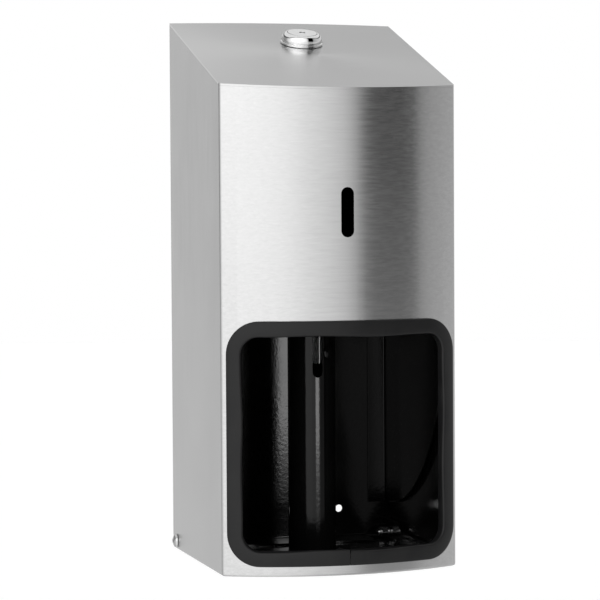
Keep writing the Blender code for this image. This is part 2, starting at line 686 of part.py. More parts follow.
def latch_bracket(finish, parent, place):
    """Bent strip inside the post: a channel that holds the latch pin, and a tab riveted to the wall."""
    outward = Vector((sin(RIVET_AZIMUTH), -cos(RIVET_AZIMUTH)))
    sideways = Vector((cos(RIVET_AZIMUTH), sin(RIVET_AZIMUTH)))
    tab = outward * BRACKET_TAB_RADIUS
    corner = tab + sideways * ((BRACKET_HALF_WIDTH - tab.x) / sideways.x)
    end = tab - sideways * BRACKET_TAB_END
    line = [(-BRACKET_HALF_WIDTH, -BRACKET_REACH_FRONT), (-BRACKET_HALF_WIDTH, BRACKET_REACH_BACK),
            (BRACKET_HALF_WIDTH, BRACKET_REACH_BACK), tuple(corner), tuple(end)]
    bracket = prism("latch_bracket", "Z", bent_sheet(line, CHASSIS_SHEET),
                    LATCH_PIVOT_HEIGHT - BRACKET_BELOW_PIVOT, LATCH_PIVOT_HEIGHT + BRACKET_ABOVE_PIVOT,
                    finish=finish, parent=parent, place=place)
    frame = facing((1.0, 0.0, 0.0), (0.0, 0.0, LATCH_PIVOT_HEIGHT))
    options = {"parent": parent, "place": place}
    cut(bracket, cylinder("bracket_pin_hole", LATCH_PIN_RADIUS + GAP, -POST_RADIUS, POST_RADIUS, 16, frame,
                          **options))
    cut(bracket, cylinder("bracket_rivet_hole", RIVET_RADIUS + GAP, POST_INNER_RADIUS / 2, POST_RADIUS, 16,
                          rivet_frame(), **options))


def latch_rivet(finish, parent, place):
    """Snap-head rivet through the post's wall and the bracket's tab."""
    under_head = POST_RADIUS + GAP
    tail = BRACKET_TAB_RADIUS - CHASSIS_SHEET / 2 - GAP
    crown = [(RIVET_HEAD_RADIUS * cos(turn), under_head + RIVET_HEAD_HEIGHT * sin(turn))
             for turn in (0.0, pi / 8, pi / 4, 3 * pi / 8)]
    profile = [(0.0, tail - RIVET_TAIL_HEIGHT), (RIVET_TAIL_RADIUS, tail - RIVET_TAIL_HEIGHT),
               (RIVET_TAIL_RADIUS, tail), (RIVET_RADIUS, tail), (RIVET_RADIUS, under_head)]
    profile += crown + [(0.0, under_head + RIVET_HEAD_HEIGHT)]
    rivet = turned("latch_rivet", profile, 24, rivet_frame(), finish=finish, parent=parent, place=place)
    # The head's underside is hollowed to the post's round wall.
    cut(rivet, rivet_seat(parent, place))


def rivet_seat(parent, place):
    """The post's wall and the space just outside it, without the hole that the shank fills."""
    height = LATCH_PIVOT_HEIGHT - RIVET_BELOW_PIVOT
    reach = 1.5 * RIVET_HEAD_RADIUS
    inner = POST_INNER_RADIUS - GAP
    outer = POST_RADIUS + GAP
    profile = [(inner, height - reach), (outer, height - reach), (outer, height + reach), (inner, height + reach)]
    seat = turned("rivet_seat", profile, 96, parent=parent, place=place)
    cut(seat, cylinder("rivet_seat_core", RIVET_RADIUS - GAP / 10, POST_INNER_RADIUS / 2, 2 * POST_RADIUS, 24,
                       rivet_frame(), parent=parent, place=place))
    return seat


def latch_pin(finish, parent, place):
    """Headed pin across the bracket, on which the latch swings."""
    inside = BRACKET_HALF_WIDTH + CHASSIS_SHEET / 2 + GAP
    end = inside + LATCH_PIN_HEAD
    profile = [(0.0, -end), (LATCH_PIN_HEAD_RADIUS, -end), (LATCH_PIN_HEAD_RADIUS, -inside),
               (LATCH_PIN_RADIUS, -inside), (LATCH_PIN_RADIUS, inside), (LATCH_PIN_HEAD_RADIUS, inside),
               (LATCH_PIN_HEAD_RADIUS, end), (0.0, end)]
    frame = facing((1.0, 0.0, 0.0), (0.0, 0.0, LATCH_PIVOT_HEIGHT))
    turned("latch_pin", profile, 20, frame, finish=finish, parent=parent, place=place)


def roll_latch(finish, parent):
    """Finger on the latch pin: its nose holds the reserve roll, and its tail rests against the bracket."""
    web = BRACKET_REACH_BACK - CHASSIS_SHEET / 2
    nose_tip = -(POST_RADIUS + LATCH_REACH)
    top = LATCH_PIVOT_DROP
    hub = LATCH_HUB_RADIUS
    outline = [(nose_tip, top), (nose_tip, top - LATCH_NOSE_HEIGHT), (-POST_RADIUS, top / 3)]
    outline += arc((0.0, 0.0), hub, pi, 1.5 * pi, 6)
    outline += [(web - GAP, -LATCH_TAIL_DROP - hub / 4), (web - GAP, -LATCH_TAIL_DROP + hub / 3), (hub, 0.0),
                (0.7 * hub, top)]
    half = LATCH_THICKNESS / 2
    latch = prism("roll_latch", "X", outline, -half, half, finish=finish, parent=parent)
    frame = facing((1.0, 0.0, 0.0), (0.0, 0.0, 0.0))
    boss_end = BRACKET_HALF_WIDTH - CHASSIS_SHEET / 2 - GAP
    join(latch, cylinder("latch_boss", LATCH_BOSS_RADIUS, -boss_end, 0.0, 20, frame, parent=parent))
    cut(latch, cylinder("latch_bore", LATCH_PIN_RADIUS + GAP, -POST_RADIUS, POST_RADIUS, 20, frame, parent=parent))


def latch_spring(finish, parent, place):
    """Torsion spring round the pin, with one leg on the bracket and one behind the latch."""
    start_x = LATCH_THICKNESS / 2 + GAP + SPRING_WIRE_RADIUS
    end_x = BRACKET_HALF_WIDTH - CHASSIS_SHEET / 2 - GAP - SPRING_WIRE_RADIUS
    web = BRACKET_REACH_BACK - CHASSIS_SHEET / 2 - GAP - SPRING_WIRE_RADIUS
    per_turn = 12
    total = SPRING_TURNS * per_turn + per_turn // 2
    coil = []
    for step in range(total + 1):
        turn = 2 * pi * step / per_turn
        x = start_x + (end_x - start_x) * step / total
        coil.append((x, SPRING_COIL_RADIUS * cos(turn), SPRING_COIL_RADIUS * sin(turn)))
    behind = 0.78 * LATCH_HUB_RADIUS + 2 * GAP + SPRING_WIRE_RADIUS
    first_leg = [(0.0, behind, 0.6 * LATCH_PIVOT_DROP), (start_x, behind, 0.55 * LATCH_PIVOT_DROP),
                 (start_x, 0.9 * behind, 0.3 * LATCH_PIVOT_DROP)]
    last_leg = [(end_x, -0.6 * SPRING_COIL_RADIUS, -1.6 * SPRING_COIL_RADIUS), (end_x, web, -0.5 * LATCH_PIVOT_DROP)]
    route = first_leg + coil + last_leg
    curve = bpy.data.curves.new("latch_spring", "CURVE")
    curve.dimensions = "3D"
    curve.bevel_depth = SPRING_WIRE_RADIUS
    curve.bevel_resolution = 1
    curve.use_fill_caps = True
    line = curve.splines.new("POLY")
    line.points.add(len(route) - 1)
    for spot, (x, y, z) in zip(line.points, route):
        spot.co = (x, y, z + LATCH_PIVOT_HEIGHT, 1.0)
    curve.materials.append(finish)
    spring = bpy.data.objects.new("latch_spring", curve)
    spring.parent = parent
    spring.location = place
    bpy.context.scene.collection.objects.link(spring)


def lock_strike(finish, parent):
    """Bent strip from the back plate, whose upturned tab stands in front of the turned cam."""
    cam_y = LOCK_Y - CAM_CENTRE * sin(TOP_SLOPE)
    cam_z = LOCK_Z + CAM_CENTRE * cos(TOP_SLOPE)
    tab_y = cam_y - CAM_HALF_WIDTH - STRIKE_CLEARANCE - STRIKE_SHEET / 2
    arm_z = cam_z - STRIKE_BELOW_CAM
    leg_y = -CHASSIS_SHEET - GAP - STRIKE_SHEET / 2
    line = [(leg_y, arm_z - STRIKE_LEG), (leg_y, arm_z), (tab_y, arm_z), (tab_y, arm_z + STRIKE_TAB_RISE)]
    outline = bent_sheet(line, STRIKE_SHEET)
    prism("lock_strike", "X", outline, STRIKE_INNER_X, STRIKE_INNER_X + STRIKE_WIDTH, finish=finish, parent=parent)


def lock_fixed(chrome, steel, parent):
    """Lock housing with its domed head outside the top, and the washer and nut that hold it inside."""
    bore = PLUG_RADIUS + GAP
    recess = LOCK_HEIGHT - PLUG_FACE_THICKNESS - GAP
    foot = GAP + LOCK_RIM_HEIGHT
    dome = []
    for step in range(6):
        turn = pi / 2 * step / 5
        radius = LOCK_FACE_RADIUS + (LOCK_DOME_RADIUS - LOCK_FACE_RADIUS) * cos(turn)
        height = foot + 2 * GAP + (LOCK_HEIGHT - foot - 2 * GAP) * sin(turn)
        dome.append((radius, height))
    profile = [(bore, -LOCK_BARREL_LENGTH), (LOCK_BARREL_RADIUS, -LOCK_BARREL_LENGTH), (LOCK_BARREL_RADIUS, GAP),
               (LOCK_RIM_RADIUS, GAP), (LOCK_RIM_RADIUS, foot), (LOCK_DOME_RADIUS - GAP, foot + GAP)]
    profile += dome
    profile += [(PLUG_FACE_RADIUS + GAP, LOCK_HEIGHT), (PLUG_FACE_RADIUS + GAP, recess), (bore, recess)]
    turned("lock_housing", profile, 48, finish=chrome, parent=parent)

    washer_top = -COVER_SHEET - GAP
    washer_low = washer_top - LOCK_WASHER_THICKNESS
    hole = LOCK_BARREL_RADIUS + GAP
    washer = [(hole, washer_low), (LOCK_WASHER_RADIUS, washer_low), (LOCK_WASHER_RADIUS, washer_top),
              (hole, washer_top)]
    turned("lock_washer", washer, 32, finish=steel, parent=parent)
    nut_top = washer_low - GAP
    nut_low = nut_top - LOCK_NUT_THICKNESS
    nut = prism("lock_nut", "Z", hexagon(LOCK_NUT_FLATS), nut_low, nut_top, finish=steel, parent=parent)
    cut(nut, cylinder("lock_nut_bore", hole, nut_low - GAP, nut_top + GAP, 32, parent=parent))


def lock_plug(chrome, parent):
    """Turning plug: a face with a tubular keyway, a round body and a square tenon for the cam."""
    face_low = LOCK_HEIGHT - PLUG_FACE_THICKNESS
    keyway = LOCK_HEIGHT - KEYWAY_DEPTH
    profile = [(0.0, PLUG_SHOULDER), (PLUG_RADIUS, PLUG_SHOULDER), (PLUG_RADIUS, face_low),
               (PLUG_FACE_RADIUS, face_low), (PLUG_FACE_RADIUS, LOCK_HEIGHT), (KEYWAY_RADIUS, LOCK_HEIGHT),
               (KEYWAY_RADIUS, keyway), (KEYWAY_PIN_RADIUS, keyway), (KEYWAY_PIN_RADIUS, LOCK_HEIGHT - GAP),
               (0.0, LOCK_HEIGHT - GAP)]
    plug = turned("lock_plug", profile, 40, finish=chrome, parent=parent)
    half = TENON_SIDE / 2
    square = [(-half, -half), (half, -half), (half, half), (-half, half)]
    join(plug, prism("plug_tenon", "Z", square, TENON_END, PLUG_SHOULDER + CAM_THICKNESS, parent=parent))
    cut(plug, cylinder("plug_thread", CAM_SCREW_RADIUS + GAP, TENON_END - GAP,
                       TENON_END + CAM_SCREW_LENGTH, 16, parent=parent))


def lock_cam(steel, parent):
    """Flat cam on the plug's tenon, pointing back and up the slope when unlocked, with its screw."""
    low = CAM_CENTRE - CAM_THICKNESS / 2
    high = CAM_CENTRE + CAM_THICKNESS / 2
    reach = acos(CAM_HALF_WIDTH / CAM_HUB_RADIUS)
    outline = arc((0.0, 0.0), CAM_HUB_RADIUS, pi - reach, 2 * pi + reach, 16)
    outline += arc((0.0, CAM_LENGTH - CAM_HALF_WIDTH), CAM_HALF_WIDTH, 0.0, pi, 8)
    cam = prism("lock_cam", "Z", outline, low, high, finish=steel, parent=parent)
    half = TENON_SIDE / 2 + GAP
    square = [(-half, -half), (half, -half), (half, half), (-half, half)]
    cut(cam, prism("cam_square", "Z", square, low - GAP, high + GAP, parent=parent))
    head_top = TENON_END - GAP
    head_low = head_top - CAM_SCREW_HEAD
    rim = 0.85 * CAM_SCREW_HEAD_RADIUS
    profile = [(0.0, head_low), (rim, head_low), (CAM_SCREW_HEAD_RADIUS, head_low + 0.3 * CAM_SCREW_HEAD),
               (CAM_SCREW_HEAD_RADIUS, head_top), (CAM_SCREW_RADIUS, head_top),
               (CAM_SCREW_RADIUS, head_top + CAM_SCREW_LENGTH - GAP), (0.0, head_top + CAM_SCREW_LENGTH - GAP)]
    turned("cam_screw", profile, 24, finish=steel, parent=parent)


def build():
    clear_scene()
    brushed = finish_material("brushed_stainless", (0.62, 0.62, 0.61), 0.32, 1.0)
    chrome = finish_material("chrome", (0.80, 0.80, 0.80), 0.06, 1.0)
    zinc = finish_material("zinc_plated_steel", (0.55, 0.55, 0.54), 0.30, 1.0)
    black = finish_material("black_powder_coat", (0.012, 0.012, 0.012), 0.35, 0.0)
    rubber = finish_material("black_rubber", (0.020, 0.020, 0.021), 0.55, 0.0)
    plastic = finish_material("black_plastic", (0.015, 0.015, 0.016), 0.40, 0.0)
    nylon = finish_material("white_nylon", (0.75, 0.74, 0.70), 0.45, 0.0)

    datum = add_empty("wall_datum", (0.0, 0.0, -WALL_DATUM))
    hinge = Vector((0.0, -HINGE_FROM_WALL, HINGE_HEIGHT))
    cover = add_empty("cover_hinge_axis", hinge, datum)
    post = (0.0, POST_Y, 0.0)
    lock_place = Vector((0.0, LOCK_Y, LOCK_Z))
    lock_axis = add_empty("lock_axis", lock_place - hinge, cover, TOP_SLOPE)
    latch_axis = add_empty("latch_axis", (0.0, POST_Y, LATCH_PIVOT_HEIGHT), datum)
    lock_frame = Matrix.Translation(lock_place) @ Matrix.Rotation(TOP_SLOPE, 4, "X")

    back_plate(black, datum)
    shelf(black, datum)
    cheek("left_cheek", -1, black, datum)
    cheek("right_cheek", 1, black, datum)
    lock_strike(black, datum)
    for label, side in (("left", -1), ("right", 1)):
        hinge_hardware(label, side, zinc, nylon, datum)

    spindle_post(black, datum, post)
    post_ends(black, plastic, datum, post)
    latch_bracket(zinc, datum, post)
    latch_rivet(black, datum, post)
    latch_pin(zinc, datum, post)
    latch_spring(zinc, datum, post)
    roll_latch(plastic, latch_axis)

    cover_wrap(brushed, cover, -hinge)
    cover_top(brushed, cover, -hinge, lock_frame)
    opening_trim(rubber, cover, -hinge)
    lock_fixed(chrome, zinc, lock_axis)
    lock_plug(chrome, lock_axis)
    lock_cam(zinc, lock_axis)


build()
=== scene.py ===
"""Looks of a lockable twin-roll toilet paper holder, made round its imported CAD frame.

Lengths are in metres. Heights are measured from the underside of the cover, and BASE places that in the
frame. The wall is behind the part, at y = 0, and its front faces -Y.
"""

import json
from math import atan2, copysign, cos, hypot, pi, radians, sin, sqrt

import bmesh
import bpy
from mathutils import Matrix, Vector

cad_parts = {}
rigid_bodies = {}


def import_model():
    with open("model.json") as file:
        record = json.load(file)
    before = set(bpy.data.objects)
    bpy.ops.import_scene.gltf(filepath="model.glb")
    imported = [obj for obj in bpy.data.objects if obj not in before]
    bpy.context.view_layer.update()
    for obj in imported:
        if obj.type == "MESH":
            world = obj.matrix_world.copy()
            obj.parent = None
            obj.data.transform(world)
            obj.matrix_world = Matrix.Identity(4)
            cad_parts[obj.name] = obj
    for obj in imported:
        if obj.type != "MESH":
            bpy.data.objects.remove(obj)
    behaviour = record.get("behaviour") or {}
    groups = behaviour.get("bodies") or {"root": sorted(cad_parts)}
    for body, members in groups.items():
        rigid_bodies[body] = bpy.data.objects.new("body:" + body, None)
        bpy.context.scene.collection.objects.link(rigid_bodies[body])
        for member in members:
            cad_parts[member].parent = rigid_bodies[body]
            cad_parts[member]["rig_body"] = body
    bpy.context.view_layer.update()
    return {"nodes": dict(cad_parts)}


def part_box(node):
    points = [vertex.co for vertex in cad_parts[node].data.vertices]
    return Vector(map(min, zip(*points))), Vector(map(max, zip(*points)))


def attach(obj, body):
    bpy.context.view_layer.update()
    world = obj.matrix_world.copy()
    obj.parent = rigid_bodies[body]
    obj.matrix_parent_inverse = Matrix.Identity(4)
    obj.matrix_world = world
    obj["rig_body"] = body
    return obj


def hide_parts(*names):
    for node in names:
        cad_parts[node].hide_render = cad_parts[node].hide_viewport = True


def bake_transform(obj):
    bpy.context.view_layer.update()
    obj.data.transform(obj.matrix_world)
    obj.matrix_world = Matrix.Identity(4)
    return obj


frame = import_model()

# The frame's own sizes
WRAP_LOW, WRAP_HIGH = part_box("cover_wrap")
TOP_LOW, TOP_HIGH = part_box("cover_top")
POST_LOW, POST_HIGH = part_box("spindle_post")
BASE = WRAP_LOW.z
HALF_WIDTH = WRAP_HIGH.x
REAR_Y = WRAP_HIGH.y
FULL_DEPTH = -WRAP_LOW.y

# Cover
FRONT_BOW = 0.0195
SHEET = 0.0012
CORNER_BEND = 0.0025
LEAST_BEND = 0.0004
BOTTOM_BEND = 0.00175
BOTTOM_FLANGE = 0.040
REAR_CORNER_RADIUS = 0.009
REAR_CROWN = 0.0009
FRONT_DIP = 0.0027
FRONT_HEIGHT = 0.305
GAP = 0.0003
EDGE_ROUND = 0.00022
FINE_EDGE = 0.00012
TOP_EDGE = 0.00015
COVER_CORNER = 40.0
PLATE_SIDE_GAP = 0.00006

# Openings and their rubber edging
OPENING_HALF_WIDTH = 0.0691
OPENING_BOTTOM = 0.0136
OPENING_HEIGHT = 0.1376
OPENING_CORNER = 0.0135
SLOT_WIDTH = 0.0082
SLOT_HEIGHT = 0.031
SLOT_CENTRE_HEIGHT = 0.2253
TRIM_COVERS = 0.0072
TRIM_LIP = 0.0026
TRIM_BULGE = 0.0026
TRIM_INNER_LEG = 0.0052
TRIM_INNER_DEPTH = 0.0021
TRIM_LIP_ROUND = 0.0013
TRIM_SHOULDER = 0.0009
TRIM_WAVE = 0.00036
TRIM_WAVE_RATE = 95.0
TRIM_SWAY_RATE = 41.0
TRIM_SWAY_SHARE = 0.6

# Lock, along its axis from the outside of the top
LOCK_PLACE = 0.34
LOCK_RIM_RADIUS = 0.0139
LOCK_RIM_HEIGHT = 0.0012
LOCK_DOME_RADIUS = 0.0133
LOCK_FACE_RADIUS = 0.0107
LOCK_HEIGHT = 0.0074
LOCK_BARREL_RADIUS = 0.0092
LOCK_BARREL_LENGTH = 0.015
PLUG_FACE_RADIUS = 0.0096
PLUG_FACE_THICKNESS = 0.0007
PLUG_RADIUS = 0.006

# Hinge hardware
SCREW_RADIUS = 0.002
SOCKET_FLATS = 0.0025
SOCKET_DEPTH = 0.0016

# Values that follow
ARC_RADIUS = (HALF_WIDTH**2 + FRONT_BOW**2) / (2 * FRONT_BOW)
ARC_CENTRE_Y = -FULL_DEPTH + ARC_RADIUS
INNER_HALF_WIDTH = HALF_WIDTH - SHEET
TOP_AT_WALL = TOP_HIGH.z - BASE
REAR_HEIGHT = TOP_AT_WALL - REAR_CROWN
TOP_FALL = TOP_AT_WALL - FRONT_HEIGHT + FRONT_DIP
TOP_SLOPE = atan2(TOP_FALL, FULL_DEPTH)
TOP_VERTICAL = SHEET / cos(TOP_SLOPE)
LOCK_FRAME = (
    Matrix.Translation((0.0, -LOCK_PLACE * FULL_DEPTH, TOP_AT_WALL - LOCK_PLACE * TOP_FALL + BASE))
    @ Matrix.Rotation(TOP_SLOPE, 4, "X")
)
POST_Y = (POST_LOW.y + POST_HIGH.y) / 2

# Camera and light
CAMERA_PLACE = (-0.4418, -1.6343, 0.0619)
CAMERA_TURN = radians(15.55)
CAMERA_DOWN = radians(2.29)
CAMERA_ROLL = radians(-0.33)
CAMERA_LENS = 149.8
FLOOR_DROP = 0.20
FLOOR_RADIUS = 6.0
STRIP_TURN = radians(12.5)
STRIP_AWAY = 1.4
STRIP_WIDTH = 0.36
STRIP_HEIGHT = 0.9
STRIP_LOW_EDGE = -0.08
STRIP_POWER = 8.0
FLOOR_GLOW = 0.37

ARC_STEPS = 96
BEND_STEPS = 8
ROUND_STEPS = 96
OBJECT_SPACE = Matrix.Translation((0.0, 0.0, BASE))


# ---------------------------------------------------------------- materials

def new_material(name, colour, roughness, metallic=0.0, **levels):
    """A Principled material. Further sockets are given by their names with underscores."""
    made = bpy.data.materials.new(name)
    made.use_nodes = True
    shader = made.node_tree.nodes["Principled BSDF"]
    shader.inputs["Base Color"].default_value = (*colour, 1.0)
    shader.inputs["Roughness"].default_value = roughness
    shader.inputs["Metallic"].default_value = metallic
    for socket, value in levels.items():
        shader.inputs[socket.replace("_", " ")].default_value = value
    return made, made.node_tree, shader


def noise(tree, scale, detail=2.0):
    """Noise in object space, with its own scale along X, Y and Z in cells per metre."""
    place = tree.nodes.new("ShaderNodeTexCoord")
    stretch = tree.nodes.new("ShaderNodeMapping")
    stretch.inputs["Scale"].default_value = scale
    made = tree.nodes.new("ShaderNodeTexNoise")
    made.inputs["Scale"].default_value = 1.0
    made.inputs["Detail"].default_value = detail
    tree.links.new(place.outputs["Object"], stretch.inputs["Vector"])
    tree.links.new(stretch.outputs["Vector"], made.inputs["Vector"])
    return made.outputs["Fac"]


def spread(tree, value, low, high):
    """Noise from its usual range of 0.3 to 0.7 to low and high."""
    made = tree.nodes.new("ShaderNodeMapRange")
    made.inputs["From Min"].default_value = 0.3
    made.inputs["From Max"].default_value = 0.7
    made.inputs["To Min"].default_value = low
    made.inputs["To Max"].default_value = high
    tree.links.new(value, made.inputs["Value"])
    return made.outputs["Result"]


def combine(tree, operation, first, second):
    made = tree.nodes.new("ShaderNodeMath")
    made.operation = operation
    for socket, value in zip(made.inputs, (first, second)):
        if isinstance(value, float):
            socket.default_value = value
        else:
            tree.links.new(value, socket)
    return made.outputs["Value"]


def vary_colour(tree, shader, value, dark, light):
    """Runs the base colour from dark to light with a value of 0 to 1."""
    ramp = tree.nodes.new("ShaderNodeValToRGB")
    ramp.color_ramp.elements[0].color = (*dark, 1.0)
    ramp.color_ramp.elements[1].color = (*light, 1.0)
    tree.links.new(value, ramp.inputs["Fac"])
    tree.links.new(ramp.outputs["Color"], shader.inputs["Base Color"])


def bump(tree, shader, height, depth, strength=1.0):
    """Raises the surface by height, which runs from 0 to 1, times depth in metres."""
    made = tree.nodes.new("ShaderNodeBump")
    made.inputs["Strength"].default_value = strength
    made.inputs["Distance"].default_value = depth
    tree.links.new(height, made.inputs["Height"])
    tree.links.new(made.outputs["Normal"], shader.inputs["Normal"])


def grain_scale(grain, along, across):
    """Noise scale for streaks that run along the named axis."""
    return tuple(along if axis == grain else across for axis in "XYZ")


def brushed_steel(name, grain, around="Z", turn=0.25, level=0.60, contrast=0.055):
    """Satin stainless steel with fine brush lines along one axis."""
    made, tree, shader = new_material(name, (level, level, level), 0.24, 1.0, Anisotropic=0.75,
                                      Anisotropic_Rotation=turn)
    tangent = tree.nodes.new("ShaderNodeTangent")
    tangent.direction_type = "RADIAL"
    tangent.axis = around
    tree.links.new(tangent.outputs["Tangent"], shader.inputs["Tangent"])
    fine = noise(tree, grain_scale(grain, 34.0, 1300.0), 2.0)
    lines = noise(tree, grain_scale(grain, 22.0, 620.0), 1.0)
    smudges = noise(tree, (14.0, 14.0, 14.0), 2.0)
    streaks = combine(tree, "ADD", spread(tree, fine, 0.0, 0.5), spread(tree, lines, 0.0, 0.5))
    vary_colour(tree, shader, streaks, [level * (1 - contrast)] * 3, [level * (1 + contrast)] * 3)
    rough = combine(tree, "ADD", spread(tree, streaks, 0.23, 0.26), spread(tree, smudges, -0.012, 0.012))
    tree.links.new(rough, shader.inputs["Roughness"])
    bump(tree, shader, streaks, 0.000003)
    return made


def powder_coat(name, level=0.002):
    """Glossy black powder coat with its orange peel."""
    made, tree, shader = new_material(name, (level, level, level), 0.12, 0.0, Specular_IOR_Level=0.25)
    peel = noise(tree, (520.0, 520.0, 520.0), 2.0)
    cloud = noise(tree, (30.0, 30.0, 30.0), 2.0)
    tree.links.new(spread(tree, cloud, 0.10, 0.14), shader.inputs["Roughness"])
    vary_colour(tree, shader, spread(tree, cloud, 0.0, 1.0), [level * 0.8] * 3, [level * 1.2] * 3)
    bump(tree, shader, peel, 0.00004)
    return made


def rubber():
    """Extruded black rubber, satin, with faint flow marks."""
    made, tree, shader = new_material(
        "extruded_rubber", (0.02, 0.02, 0.02), 0.42, 0.0, Specular_IOR_Level=0.3)
    cloud = noise(tree, (60.0, 60.0, 60.0), 3.0)
    grit = noise(tree, (2400.0, 2400.0, 2400.0), 2.0)
    vary_colour(tree, shader, spread(tree, cloud, 0.0, 1.0), (0.007, 0.007, 0.0075), (0.012, 0.012, 0.012))
    tree.links.new(spread(tree, cloud, 0.38, 0.46), shader.inputs["Roughness"])
    bump(tree, shader, grit, 0.00002)
    return made


def polished_metal(name, level, rough, depth):
    """Plated metal with faint wear: fine scatter in roughness and a shallow waviness."""
    made, tree, shader = new_material(name, (level, level, level), rough, 1.0)
    wear = noise(tree, (700.0, 700.0, 700.0), 3.0)
    wave = noise(tree, (160.0, 160.0, 160.0), 1.0)
    tree.links.new(spread(tree, wear, 0.8 * rough, 1.25 * rough), shader.inputs["Roughness"])
    vary_colour(tree, shader, spread(tree, wear, 0.0, 1.0), [0.94 * level] * 3, [1.04 * level] * 3)
    bump(tree, shader, wave, depth)
    return made


def moulded_plastic(name, colour, rough, **levels):
    """Injection-moulded plastic with a fine spark-eroded texture."""
    made, tree, shader = new_material(name, colour, rough, **levels)
    grit = noise(tree, (1500.0, 1500.0, 1500.0), 2.0)
    dark, light = [0.9 * part for part in colour], [1.08 * part for part in colour]
    vary_colour(tree, shader, spread(tree, grit, 0.0, 1.0), dark, light)
    tree.links.new(spread(tree, grit, 0.9 * rough, 1.1 * rough), shader.inputs["Roughness"])
    bump(tree, shader, grit, 0.000008)
    return made


def floor_paint():
    """Pale paint that glows a little, so that the floor stays near white."""
    made, tree, shader = new_material(
        "pale_floor", (0.86, 0.86, 0.86), 0.7, 0.0, Emission_Strength=FLOOR_GLOW)
    shader.inputs["Emission Color"].default_value = (1.0, 1.0, 1.0, 1.0)
    grit = noise(tree, (40.0, 40.0, 40.0), 3.0)
    tree.links.new(spread(tree, grit, 0.65, 0.75), shader.inputs["Roughness"])
    return made


# ---------------------------------------------------------------- shapes

def arc(centre, radius, start, end, steps):
    """Points on a circle from angle start to angle end, both included."""
    return [
        (centre[0] + radius * cos(start + (end - start) * step / steps),
         centre[1] + radius * sin(start + (end - start) * step / steps))
        for step in range(steps + 1)
    ]


def loft(rings):
    """Points and faces of a body through closed rings of equal length, capped at both ends."""
    count = len(rings[0])
    points = [point for ring in rings for point in ring]
    faces = []
    for level in range(len(rings) - 1):
        for side in range(count):
            near = level * count + side
            following = level * count + (side + 1) % count
            faces.append((near, following, following + count, near + count))
    faces.append(tuple(range(count)))
    faces.append(tuple(range((len(rings) - 1) * count, len(rings) * count)))
    return points, faces


def prism(axis, outline, low, high):
    """A straight prism: X takes (y, z) outlines, Y takes (x, z) outlines and Z takes (x, y) outlines."""
    order = {"X": (2, 0, 1), "Y": (0, 2, 1), "Z": (0, 1, 2)}[axis]
    rings = []
    for height in (low, high):
        flat = [(*point, height) for point in outline]
        rings.append([tuple(point[index] for index in order) for point in flat])
    return loft(rings)


def turned(profile, steps=ROUND_STEPS):
    """A body turned about Z, from a closed profile of (radius, height) points."""
    points = []
    first = []
    for radius, height in profile:
        first.append(len(points))
        turns = [2 * pi * step / steps for step in range(steps)] if radius > 0 else [0.0]
        points.extend((radius * cos(turn), radius * sin(turn), height) for turn in turns)

    def corner(row, step):
        return first[row] + (step % steps if profile[row][0] > 0 else 0)

    faces = []
    for row in range(len(profile)):
        following = (row + 1) % len(profile)
        if profile[row][0] == 0 and profile[following][0] == 0:
            continue
        for step in range(steps):
            ring = [corner(row, step), corner(row, step + 1),
                    corner(following, step + 1), corner(following, step)]
            faces.append(tuple(dict.fromkeys(ring)))
    return points, faces


def rounded(profile, radius, steps=3):
    """A closed profile whose corners sharper than 20 degrees are rounded."""
    result = []
    for index, here in enumerate(profile):
        here = Vector(here)
        before = Vector(profile[index - 1]) - here
        after = Vector(profile[(index + 1) % len(profile)]) - here
        if here.x == 0 or before.angle(after) > radians(160):
            result.append(tuple(here))
            continue
        reach = min(radius, 0.4 * before.length, 0.4 * after.length)
        start = here + before.normalized() * reach
        end = here + after.normalized() * reach
        for step in range(steps + 1):
            share = step / steps
            result.append(tuple((1 - share) ** 2 * start + 2 * share * (1 - share) * here + share**2 * end))
    return result


def make_object(name, body, place):
    """A mesh object from points and faces, with its faces turned outwards, at a frame."""
    work = bmesh.new()
    corners = [work.verts.new(point) for point in body[0]]
    for face in body[1]:
        work.faces.new([corners[index] for index in face])
    bmesh.ops.recalc_face_normals(work, faces=work.faces)
    mesh = bpy.data.meshes.new(name)
    work.to_mesh(mesh)
    work.free()
    made = bpy.data.objects.new(name, mesh)
    made.matrix_world = place
    bpy.context.scene.collection.objects.link(made)
    return made


def carve(target, *cutters, operation="DIFFERENCE"):
    """Cuts the cutters' shapes from target, or joins them to it, and removes the cutters."""
    helpers = []
    for body, place in cutters:
        tool = make_object("cutter", body, place)
        step = target.modifiers.new("cut", "BOOLEAN")
        step.operation = operation
        step.object = tool
        step.solver = "EXACT"
        helpers.append(tool)
    bpy.context.view_layer.update()
    done = bpy.data.meshes.new_from_object(target.evaluated_get(bpy.context.evaluated_depsgraph_get()))
    target.modifiers.clear()
    target.data = done
    for tool in helpers:
        bpy.data.objects.remove(tool, do_unlink=True)


def finish_piece(made, finishes, body, nodes, edge=EDGE_ROUND, angle=35.0):
    """Materials, smooth shading, rounded edges, and the body that the piece rides on, if any."""
    for finish in finishes:
        made.data.materials.append(finish)
    made.data.shade_smooth()
    made.data.set_sharp_from_angle(angle=radians(angle))
    if edge:
        step = made.modifiers.new("edges", "BEVEL")
        step.width = edge
        step.segments = 2
        step.limit_method = "ANGLE"
        step.angle_limit = radians(angle)
        step.harden_normals = True
        step.material = -1
        step.use_clamp_overlap = True
    if body:
        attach(made, body)
    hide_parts(*nodes)
    return made


